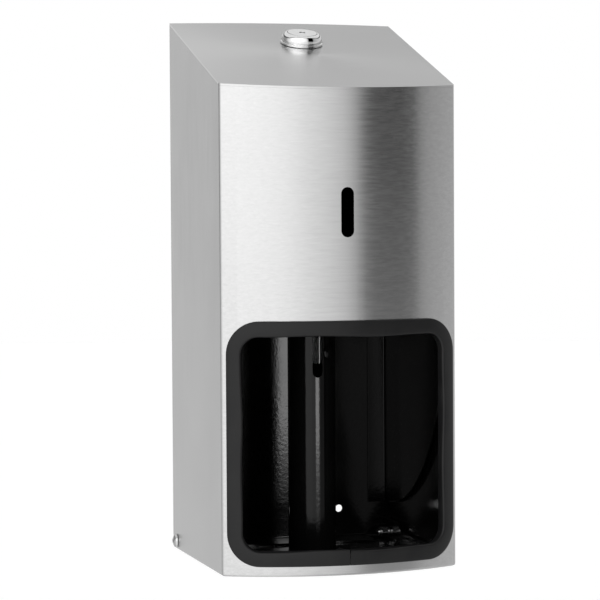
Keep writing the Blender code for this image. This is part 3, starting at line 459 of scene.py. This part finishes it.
def refined(node, finish, edge=EDGE_ROUND, rides=True):
    """A copy of a CAD node with joined corners, rounded edges and a real finish."""
    mesh = frame["nodes"][node].data.copy()
    mesh.materials.clear()
    work = bmesh.new()
    work.from_mesh(mesh)
    bmesh.ops.remove_doubles(work, verts=work.verts, dist=1e-6)
    bmesh.ops.dissolve_limit(work, angle_limit=radians(0.3), verts=work.verts, edges=work.edges)
    work.to_mesh(mesh)
    work.free()
    made = bpy.data.objects.new(f"{node}_finished", mesh)
    bpy.context.scene.collection.objects.link(made)
    body = frame["nodes"][node]["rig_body"] if rides else None
    return finish_piece(made, [finish], body, [node], edge)


# ---------------------------------------------------------------- cover

def front_path(inset):
    """Plan points of the cover's outside, moved in by inset, from the left side round to the right side."""
    radius = ARC_RADIUS - inset
    half = HALF_WIDTH - inset
    bend = max(CORNER_BEND - inset, LEAST_BEND)
    centre_x = half - bend
    centre_y = ARC_CENTRE_Y - sqrt((radius - bend) ** 2 - centre_x**2)
    touch = atan2(centre_x, ARC_CENTRE_Y - centre_y)
    right = arc((centre_x, centre_y), bend, touch - pi / 2, 0.0, BEND_STEPS)
    turns = [touch * (2 * step / ARC_STEPS - 1) for step in range(1, ARC_STEPS)]
    front = [(radius * sin(turn), ARC_CENTRE_Y - radius * cos(turn)) for turn in turns]
    left = [(-x, y) for x, y in reversed(right)]
    return left + front + right


def arc_depth(x):
    """Distance of the front arc from the wall at this x."""
    return sqrt(ARC_RADIUS**2 - x**2) - ARC_CENTRE_Y


def top_height(x, y):
    """Height of the outside of the top: straight from back to front at each x, and crowned across."""
    across = 1 - (x / HALF_WIDTH) ** 2
    rear = REAR_HEIGHT + REAR_CROWN * across
    front = FRONT_HEIGHT - FRONT_DIP * across
    return rear + (front - rear) * -y / arc_depth(x)


def arc_point(along_arc, height, rise):
    """A point at a length along the front arc, at a height, and at a rise above the outside."""
    turn = along_arc / ARC_RADIUS
    radius = ARC_RADIUS + rise
    return (radius * sin(turn), ARC_CENTRE_Y - radius * cos(turn), height)


def window(half_width, bottom, height, corner):
    """A cutter through the bowed front, with rounded corners and sides square to the sheet."""
    reach = 6 * SHEET
    middle = bottom + height / 2
    flat = half_width - corner
    offsets = [point[0] for point in arc((flat, 0.0), corner, pi / 2, 0.0, 12)]
    flats = [flat * step / 24 for step in range(24)] if flat > 0 else []
    right = flats + offsets
    columns = [-place for place in reversed(right[1:])] + right
    rings = []
    for place in columns:
        past = max(abs(place) - flat, 0.0)
        rise = max(height / 2 - corner + sqrt(max(corner**2 - past**2, 0.0)), GAP / 10)
        rings.append([
            arc_point(place, middle - rise, -reach),
            arc_point(place, middle - rise, reach),
            arc_point(place, middle + rise, reach),
            arc_point(place, middle + rise, -reach),
        ])
    return loft(rings), OBJECT_SPACE


def is_inside(centre, normal):
    """Whether a face of the cover looks into it."""
    out = Vector((centre.x, centre.y - ARC_CENTRE_Y, 0.0)).normalized()
    from_axis = hypot(centre.x, centre.y - ARC_CENTRE_Y)
    if abs(centre.x) < INNER_HALF_WIDTH - CORNER_BEND and from_axis > ARC_RADIUS / 2:
        if centre.y < -FULL_DEPTH + FRONT_BOW + 2 * CORNER_BEND and normal.dot(out) < -0.7:
            return True
    if abs(centre.x) > INNER_HALF_WIDTH - 2 * CORNER_BEND and normal.x * centre.x < -0.2 * abs(centre.x):
        return True
    return normal.z > 0.9 and centre.z < 2 * SHEET


def cover_shell(front_steel, side_steel, coat):
    """Front, sides and folded bottom bent from one sheet. Its inside faces take a near-black finish, which
    keeps the inside dark.
    """
    rings = []
    fold_steps = 8
    for step in range(fold_steps + 1):
        angle = pi / 2 * step / fold_steps
        plan = front_path(BOTTOM_BEND * (1 - sin(angle)))
        height = BOTTOM_BEND * (1 - cos(angle))
        rings.append([(x, y, height) for x, y in plan + [(x, REAR_Y) for x, _ in reversed(plan)]])
    plan = front_path(0.0)
    top = plan + [(x, REAR_Y) for x, _ in reversed(plan)]
    seam = [2 * GAP if abs(x) == HALF_WIDTH else GAP / 8 for x, _ in top]
    rings.append([(x, y, top_height(x, y) - TOP_VERTICAL - drop) for (x, y), drop in zip(top, seam)])
    points, faces = loft(rings)
    faces.pop()
    first = (len(rings) - 1) * len(top)
    for index in range(len(plan) - 1):
        back = len(top) - 1 - index
        faces.append((first + index, first + index + 1, first + back - 1, first + back))
    shell = make_object("cover_shell", (points, faces), OBJECT_SPACE)

    inside = front_path(SHEET)
    inside = inside + [(x, GAP + SHEET) for x, _ in (inside[-1], inside[0])]
    flange_rear = -FULL_DEPTH + BOTTOM_FLANGE
    mouth = [(-INNER_HALF_WIDTH, flange_rear), (INNER_HALF_WIDTH, flange_rear),
             (INNER_HALF_WIDTH, SHEET), (-INNER_HALF_WIDTH, SHEET)]
    corner = arc((REAR_Y - REAR_CORNER_RADIUS, REAR_CORNER_RADIUS), REAR_CORNER_RADIUS, 0.0, -pi / 2, 16)
    corner += [(REAR_Y - REAR_CORNER_RADIUS, -SHEET), (SHEET, -SHEET), (SHEET, REAR_CORNER_RADIUS)]
    bore = SCREW_RADIUS + GAP
    past = 2 * HALF_WIDTH
    pin = turned([(0.0, -past), (bore, -past), (bore, past), (0.0, past)], 48)
    carve(
        shell,
        (prism("Z", inside, SHEET, 2 * REAR_HEIGHT), OBJECT_SPACE),
        (prism("Z", mouth, -SHEET, 2 * SHEET), OBJECT_SPACE),
        window(OPENING_HALF_WIDTH, OPENING_BOTTOM, OPENING_HEIGHT, OPENING_CORNER),
        window(SLOT_WIDTH / 2, SLOT_CENTRE_HEIGHT - SLOT_HEIGHT / 2, SLOT_HEIGHT, SLOT_WIDTH / 2),
        (prism("X", corner, -2 * HALF_WIDTH, 2 * HALF_WIDTH), OBJECT_SPACE),
        (pin, sideways(1, hinge_centre("left"))),
    )
    finish_piece(shell, [front_steel, side_steel, coat], "cover", ["cover_wrap"],
                 edge=FINE_EDGE, angle=COVER_CORNER)
    # Faces that look into the cover take the near-black inside finish, which keeps the inside dark.
    for face in shell.data.polygons:
        if is_inside(face.center, face.normal):
            face.material_index = 2
        elif abs(face.normal.x) > 0.9 and abs(face.center.x) > INNER_HALF_WIDTH:
            face.material_index = 1
    return shell


def sloped_top(steel, coat):
    """The top sheet, crowned across and flush with the front."""
    plan = front_path(0.0)
    rings = []
    for x, y in plan:
        rings.append([
            (x, y, top_height(x, y) - TOP_VERTICAL),
            (x, y, top_height(x, y)),
            (x, REAR_Y, top_height(x, REAR_Y)),
            (x, REAR_Y, top_height(x, REAR_Y) - TOP_VERTICAL),
        ])
    top = make_object("sloped_top", loft(rings), OBJECT_SPACE)
    bore = LOCK_BARREL_RADIUS + GAP
    hole = turned([(0.0, -4 * SHEET), (bore, -4 * SHEET), (bore, 4 * SHEET), (0.0, 4 * SHEET)], 64)
    carve(top, (hole, LOCK_FRAME))
    finish_piece(top, [steel, coat], "cover", ["cover_top"],
                 edge=TOP_EDGE, angle=COVER_CORNER)
    # The underside takes the near-black inside finish.
    for face in top.data.polygons:
        face.material_index = 1 if face.normal.z < -0.5 else 0
    return top


def trim_route():
    """Stations round the opening: length along the arc, height, and the outward direction in the sheet."""
    reach = OPENING_HALF_WIDTH - OPENING_CORNER
    low = OPENING_BOTTOM + OPENING_CORNER
    high = OPENING_BOTTOM + OPENING_HEIGHT - OPENING_CORNER
    top = OPENING_BOTTOM + OPENING_HEIGHT
    stations = []

    def run(start, end, way, steps):
        for step in range(steps):
            share = step / steps
            place = start[0] + (end[0] - start[0]) * share
            stations.append((place, start[1] + (end[1] - start[1]) * share, way))

    def corner(centre, begin):
        for step in range(16):
            angle = begin + pi / 2 * step / 16
            way = (cos(angle), sin(angle))
            place = centre[0] + OPENING_CORNER * way[0]
            stations.append((place, centre[1] + OPENING_CORNER * way[1], way))

    run((GAP, OPENING_BOTTOM), (reach, OPENING_BOTTOM), (0.0, -1.0), 24)
    corner((reach, low), -pi / 2)
    run((OPENING_HALF_WIDTH, low), (OPENING_HALF_WIDTH, high), (1.0, 0.0), 36)
    corner((reach, high), 0.0)
    run((reach, top), (-reach, top), (0.0, 1.0), 48)
    corner((-reach, high), pi / 2)
    run((-OPENING_HALF_WIDTH, high), (-OPENING_HALF_WIDTH, low), (-1.0, 0.0), 36)
    corner((-reach, low), pi)
    run((-reach, OPENING_BOTTOM), (-GAP, OPENING_BOTTOM), (0.0, -1.0), 24)
    stations.append((-GAP, OPENING_BOTTOM, (0.0, -1.0)))
    return stations


def trim_profile():
    """Section of the rubber channel: (outwards in the sheet, rise above the sheet)."""
    inner = -SHEET - TRIM_INNER_DEPTH
    lip_round = TRIM_LIP_ROUND
    shoulder = TRIM_SHOULDER
    crest = TRIM_BULGE - lip_round
    rim = 0.72 * TRIM_BULGE - shoulder
    profile = [(TRIM_COVERS, GAP)]
    profile += arc((TRIM_COVERS - shoulder, rim), shoulder, 0.0, 0.42 * pi, 5)
    profile += [(0.62 * TRIM_COVERS, 0.84 * TRIM_BULGE), (0.38 * TRIM_COVERS, 0.92 * TRIM_BULGE),
                (0.12 * TRIM_COVERS, 0.985 * TRIM_BULGE)]
    profile += arc((lip_round - TRIM_LIP, crest), lip_round, pi / 2, pi, 8)
    profile += arc((lip_round - TRIM_LIP, inner + lip_round), lip_round, pi, 1.5 * pi, 5)
    profile += [(TRIM_INNER_LEG - GAP, inner), (TRIM_INNER_LEG, inner + GAP)]
    profile += [(TRIM_INNER_LEG, -SHEET - GAP), (-GAP, -SHEET - GAP), (-GAP, GAP)]
    return profile


def rubber_edging(finish):
    """Rubber channel round the opening, slightly wavy, with its ends meeting at the bottom."""
    rings = []
    travelled = 0.0
    stations = trim_route()
    for index, (place, height, way) in enumerate(stations):
        if index:
            travelled += hypot(place - stations[index - 1][0], height - stations[index - 1][1])
        sway = TRIM_SWAY_SHARE * sin(travelled * TRIM_SWAY_RATE + 1.0)
        wave = TRIM_WAVE * (sin(travelled * TRIM_WAVE_RATE) + sway)
        ring = []
        for out, rise in trim_profile():
            push = wave if out < 0.5 * TRIM_COVERS and rise > 0.5 * TRIM_BULGE else 0.0
            ring.append(arc_point(place + way[0] * (out + push), height + way[1] * (out + push), rise))
        rings.append(ring)
    edging = make_object("rubber_edging", loft(rings), OBJECT_SPACE)
    return finish_piece(edging, [finish], "cover", ["opening_trim"], edge=0.0)


# ---------------------------------------------------------------- lock and hardware

def lock_head(finish):
    """Fixed ring of the lock: a thin rim on the top, then a dome up to the turning face."""
    bore = PLUG_RADIUS + GAP
    recess = LOCK_HEIGHT - PLUG_FACE_THICKNESS - GAP
    foot = GAP + LOCK_RIM_HEIGHT
    dome = []
    for step in range(13):
        turn = pi / 2 * step / 12
        radius = LOCK_FACE_RADIUS + (LOCK_DOME_RADIUS - LOCK_FACE_RADIUS) * cos(turn)
        dome.append((radius, foot + 2 * GAP + (LOCK_HEIGHT - foot - 2 * GAP) * sin(turn)))
    profile = [(bore, -LOCK_BARREL_LENGTH), (LOCK_BARREL_RADIUS, -LOCK_BARREL_LENGTH),
               (LOCK_BARREL_RADIUS, GAP), (LOCK_RIM_RADIUS, GAP), (LOCK_RIM_RADIUS, foot),
               (LOCK_DOME_RADIUS - GAP, foot + GAP)]
    profile += dome
    profile += [(PLUG_FACE_RADIUS + GAP, LOCK_HEIGHT), (PLUG_FACE_RADIUS + GAP, recess), (bore, recess)]
    ring = make_object("lock_head", turned(profile), LOCK_FRAME)
    return finish_piece(ring, [finish], "cover", ["lock_housing"], edge=FINE_EDGE)


def hexagon(flats):
    radius = flats / sqrt(3)
    return [(radius * cos(pi / 3 * step), radius * sin(pi / 3 * step)) for step in range(6)]


def sideways(side, centre):
    """A frame at centre whose Z axis points out to that side."""
    turn = Matrix.Rotation(side * pi / 2, 4, "Y")
    return Matrix.Translation(centre) @ turn


def hinge_centre(label):
    """Where that hinge screw's axis crosses the middle of the part."""
    low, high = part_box(f"{label}_hinge_screw")
    return Vector((0.0, (low.y + high.y) / 2, (low.z + high.z) / 2))


def hinge_screw(label, side, finish):
    """Button-head screw with a hexagon socket, on the hinge axis."""
    low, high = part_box(f"{label}_hinge_screw")
    centre = hinge_centre(label)
    head_radius = (high.y - low.y) / 2
    outer = max(abs(low.x), abs(high.x))
    inner = min(abs(low.x), abs(high.x))
    under_head = HALF_WIDTH + GAP
    height = outer - under_head
    tip = 0.6 * SCREW_RADIUS
    crown = [(head_radius * cos(turn), under_head + 0.25 * height + 0.75 * height * sin(turn))
             for turn in (pi / 2 * step / 10 for step in range(9))]
    profile = [(0.0, inner), (tip, inner), (SCREW_RADIUS, inner + tip), (SCREW_RADIUS, under_head),
               (head_radius, under_head)] + crown + [(0.0, outer)]
    screw = make_object(f"{label}_button_screw", turned(rounded(profile, 0.0002), 48), sideways(side, centre))
    socket = prism("Z", hexagon(SOCKET_FLATS), outer - SOCKET_DEPTH, outer + SOCKET_DEPTH)
    carve(screw, (socket, sideways(side, centre)))
    return finish_piece(screw, [finish], "chassis", [f"{label}_hinge_screw"],
                        edge=0.00008)


def swinging_leg(spring):
    """Bakes the spring's placement into its points; the spring is attached to no body."""
    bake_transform(spring)


# ---------------------------------------------------------------- stage

def stage_and_camera():
    disc = turned([(0.0, 0.0), (FLOOR_RADIUS, 0.0), (FLOOR_RADIUS, -0.01), (0.0, -0.01)])
    floor = make_object("floor", disc, Matrix.Translation((0.0, 0.0, BASE - FLOOR_DROP)))
    floor.data.materials.append(floor_paint())
    floor.visible_glossy = False
    camera = bpy.data.objects.new("camera", bpy.data.cameras.new("camera"))
    camera.data.lens = CAMERA_LENS
    camera.matrix_world = (
        Matrix.Translation(CAMERA_PLACE)
        @ Matrix.Rotation(-CAMERA_TURN, 4, "Z")
        @ Matrix.Rotation(pi / 2 - CAMERA_DOWN, 4, "X")
        @ Matrix.Rotation(CAMERA_ROLL, 4, "Z")
    )
    bpy.context.scene.collection.objects.link(camera)
    bpy.context.scene.camera = camera
    bpy.context.scene.view_settings.view_transform = "Standard"


# Brightness of the studio round the part, by the compass: degrees from the front (-Y) towards +X
STUDIO = (
    (-180, 0.84), (-164, 0.85), (-150, 0.40), (-122, 0.28), (-100, 0.70), (-60, 1.45), (-45, 1.72),
    (-25, 1.66), (0, 1.20), (10, 0.98), (18, 0.72),
    (24, 0.22), (28, 0.0), (50, 0.0), (55, 0.30), (70, 0.46), (90, 0.58),
    (120, 0.66), (150, 0.76), (180, 0.84),
)
# Brightness overhead, by how far up: 0 at the horizon and 1 straight up
OVERHEAD = ((0.0, 0.05), (0.40, 0.05), (0.46, 0.60), (0.53, 0.80), (0.7, 0.80), (1.0, 0.80))
OVERHEAD_STARTS = (0.28, 0.38)
FRONT_REACH = 0.6
BELOW = 0.78
BELOW_SHARE = 0.6
BELOW_STARTS = (0.05, -0.17)
BACKDROP = 1.0


def level_curve(tree, value, spots):
    """Brightness along a curve through spots of (place, level), for a value of 0 to 1."""
    curve = tree.nodes.new("ShaderNodeFloatCurve")
    line = curve.mapping.curves[0]
    top = max(level for _, level in spots)
    line.points[0].location = (spots[0][0], spots[0][1] / top)
    line.points[1].location = (spots[-1][0], spots[-1][1] / top)
    for place, level in spots[1:-1]:
        line.points.new(place, level / top)
    curve.mapping.update()
    tree.links.new(value, curve.inputs["Value"])
    return combine(tree, "MULTIPLY", curve.outputs["Value"], top)


def smooth_step(tree, value, start, end, most=1.0):
    made = tree.nodes.new("ShaderNodeMapRange")
    made.interpolation_type = "SMOOTHSTEP"
    made.inputs["From Min"].default_value = start
    made.inputs["From Max"].default_value = end
    made.inputs["To Max"].default_value = most
    tree.links.new(value, made.inputs["Value"])
    return made.outputs["Result"]


def blend(tree, share, first, second):
    """From first to second, a number or another node's output, as share goes from 0 to 1."""
    made = tree.nodes.new("ShaderNodeMix")
    tree.links.new(share, made.inputs["Factor"])
    tree.links.new(first, made.inputs["A"])
    if isinstance(second, float):
        made.inputs["B"].default_value = second
    else:
        tree.links.new(second, made.inputs["B"])
    return made.outputs["Result"]


def studio_light():
    """Broad light from the left and front, a dark flag right of front, and white for the camera."""
    world = bpy.data.worlds.new("studio")
    bpy.context.scene.world = world
    world.use_nodes = True
    tree = world.node_tree
    background = tree.nodes["Background"]
    background.inputs["Color"].default_value = (1.0, 1.0, 1.0, 1.0)
    direction = tree.nodes.new("ShaderNodeTexCoord")
    parts = tree.nodes.new("ShaderNodeSeparateXYZ")
    tree.links.new(direction.outputs["Generated"], parts.inputs["Vector"])
    ahead = combine(tree, "MULTIPLY", parts.outputs["Y"], -1.0)
    compass = combine(tree, "ARCTAN2", parts.outputs["X"], ahead)
    round_share = combine(tree, "ADD", combine(tree, "DIVIDE", compass, 2 * pi), 0.5)
    around = level_curve(tree, round_share, [((turn + 180) / 360, level) for turn, level in STUDIO])
    in_front = combine(tree, "MINIMUM", parts.outputs["Y"], 0.0)
    forward = combine(tree, "MULTIPLY", in_front, FRONT_REACH)
    rise = combine(tree, "ADD", parts.outputs["Z"], forward)
    overhead = level_curve(tree, rise, OVERHEAD)
    level = blend(tree, smooth_step(tree, rise, *OVERHEAD_STARTS), around, overhead)
    level = blend(tree, smooth_step(tree, parts.outputs["Z"], *BELOW_STARTS, BELOW_SHARE), level, BELOW)
    path = tree.nodes.new("ShaderNodeLightPath")
    seen = blend(tree, path.outputs["Is Camera Ray"], level, BACKDROP)
    tree.links.new(seen, background.inputs["Strength"])


def strip_light(receivers):
    """A strip softbox in front, whose light is kept to the coated chassis pieces and the hinge nuts."""
    lamp = bpy.data.lights.new("strip_softbox", "AREA")
    lamp.shape = "RECTANGLE"
    lamp.size = STRIP_WIDTH
    lamp.size_y = STRIP_HEIGHT
    lamp.energy = STRIP_POWER
    light = bpy.data.objects.new("strip_softbox", lamp)
    target = Vector((0.0, POST_Y, BASE))
    spot = target + STRIP_AWAY * Vector((sin(STRIP_TURN), -cos(STRIP_TURN), 0.0))
    spot.z = BASE + STRIP_LOW_EDGE + STRIP_HEIGHT / 2
    facing = Vector((spot.x - target.x, spot.y - target.y, 0.0)).to_track_quat("Z", "Y")
    light.matrix_world = Matrix.Translation(spot) @ facing.to_matrix().to_4x4()
    light.visible_camera = False
    bpy.context.scene.collection.objects.link(light)
    group = bpy.data.collections.new("lit_by_strip")
    for receiver in receivers:
        group.objects.link(receiver)
    light.light_linking.receiver_collection = group


# ---------------------------------------------------------------- the part

def dress():
    front_steel = brushed_steel("brushed_front", "X")
    side_steel = brushed_steel("brushed_side", "Z", turn=0.0, contrast=0.045)
    top_steel = brushed_steel("brushed_top", "X", contrast=0.04)
    coat = powder_coat("black_powder_coat")
    # Near-black finish for the inside of the cover and top, which keeps the inside dark.
    dark_inside = powder_coat("dark_inside_finish")
    zinc = polished_metal("zinc_plate", 0.66, 0.18, 0.00001)
    chrome = polished_metal("chrome_plate", 0.86, 0.05, 0.000004)
    plastic = moulded_plastic("moulded_black", (0.006, 0.006, 0.0065), 0.42, Specular_IOR_Level=0.25)
    nylon = moulded_plastic("moulded_nylon", (0.75, 0.74, 0.70), 0.45)

    cover_shell(front_steel, side_steel, dark_inside)
    sloped_top(top_steel, dark_inside)
    rubber_edging(rubber())
    lock_head(chrome)
    for label, side in (("left", -1), ("right", 1)):
        hinge_screw(label, side, zinc)
        refined(f"{label}_hinge_washer", zinc, 0.0001)
        refined(f"{label}_hinge_bush", nylon, 0.0001)
    for node in ("latch_bracket", "latch_pin", "lock_washer", "lock_nut", "lock_cam", "cam_screw"):
        refined(node, zinc, FINE_EDGE)
    swinging_leg(refined("latch_spring", zinc, 0.0, rides=False))
    refined("lock_plug", chrome, 0.00008)
    refined("post_cap", plastic, 0.00015)
    refined("roll_latch", plastic, 0.0003)
    nuts = [refined(f"{label}_hinge_nut", zinc, 0.00015)
            for label in ("left", "right")]
    plate = refined("back_plate", coat)
    # The plate's sides reach nearly to the cover, which closes a bright slit at the rear corners.
    for vertex in plate.data.vertices:
        if abs(vertex.co.x) > INNER_HALF_WIDTH - 1.5 * GAP:
            vertex.co.x = copysign(INNER_HALF_WIDTH - PLATE_SIDE_GAP, vertex.co.x)
    inside = ("left_cheek", "right_cheek", "shelf", "lock_strike", "post_foot", "spindle_post",
              "latch_rivet")
    return nuts + [plate] + [refined(node, coat) for node in inside]


coated = dress()
stage_and_camera()
studio_light()
strip_light(coated)
